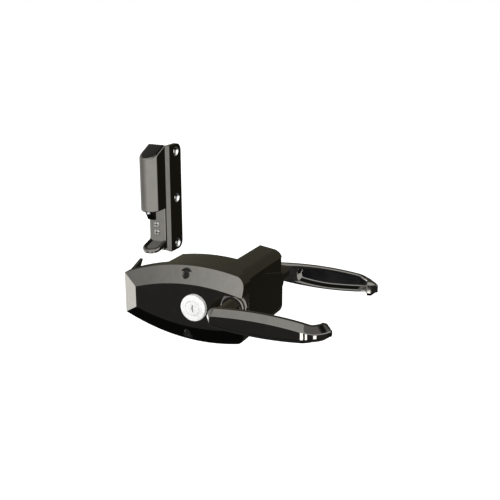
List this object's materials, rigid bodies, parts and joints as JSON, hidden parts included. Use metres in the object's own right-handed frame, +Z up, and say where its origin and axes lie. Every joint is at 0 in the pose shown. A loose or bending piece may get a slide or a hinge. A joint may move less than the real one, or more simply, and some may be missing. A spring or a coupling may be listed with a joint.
{
  "type": "stair gate latch",
  "caption": "Two-sided lever latch that wraps a gate stile, with a key lock, a sliding bolt and a separate post keeper with a spring plunger.",
  "frame": {"origin": "centre height of the case's rear face, where it lies on the gate's stile, level with the lever axis", "axes": "+Z up; +Y from the front of the latch through the gate to its rear; +X from the keeper towards the lever tips"},
  "size_m": [0.2184, 0.164, 0.1774],
  "materials": {
    "black_casting": "gloss black coated casting",
    "chrome_plate": "polished",
    "plated_steel": "dark plated",
    "spring_steel": "oiled wire"
  },
  "bodies": {
    "housing": {"front_cover": "black_casting", "case": "black_casting", "front_rose": "black_casting", "rear_rose": "black_casting", "keeper_bracket": "black_casting", "keeper_catch": "black_casting", "lock_housing": "chrome_plate", "return_spring": "spring_steel", "keeper_spring": "spring_steel", "cover_screw_upper": "plated_steel", "cover_screw_lower": "plated_steel", "bolt_retainer": "plated_steel", "retainer_screw_upper": "plated_steel", "retainer_screw_lower": "plated_steel", "lock_nut": "plated_steel", "keeper_screw_upper": "plated_steel", "keeper_screw_lower": "plated_steel"},
    "handles": {"spindle": "plated_steel", "front_lever": "black_casting", "rear_lever": "black_casting", "cam": "plated_steel", "front_circlip": "plated_steel", "rear_circlip": "plated_steel", "front_grub_screw": "plated_steel", "rear_grub_screw": "plated_steel"},
    "bolt": {"latch_bolt": "plated_steel"},
    "key": {"key_plug": "chrome_plate", "tail_cam": "plated_steel", "tail_screw": "plated_steel"},
    "plunger": {"keeper_plunger": "black_casting", "plunger_pin": "chrome_plate"}
  },
  "joints": [
    {"name": "lever_turn", "type": "hinge", "parent": "housing", "child": "handles", "pos_m": [0.041, 0, 0], "axis": [0, 1, 0], "range_deg": [0, 35], "stiffness_Nm_per_rad": 1.2, "springref_deg": -28.65},
    {"name": "bolt_slide", "type": "slide", "parent": "housing", "child": "bolt", "axis": [1, 0, 0], "range_m": [0, 0.012]},
    {"name": "key_turn", "type": "hinge", "parent": "housing", "child": "key", "pos_m": [0.009, 0, 0], "axis": [0, 1, 0], "range_deg": [0, 90]},
    {"name": "plunger_slide", "type": "slide", "parent": "housing", "child": "plunger", "axis": [0, 0, 1], "range_m": [0, 0.009], "stiffness_N_per_m": 150, "springref_m": -0.01, "deforming": ["keeper_spring"]}
  ],
  "couplings": [
    {"joint": "bolt_slide", "follows": "lever_turn", "m_per_rad": 0.01964}
  ]
}
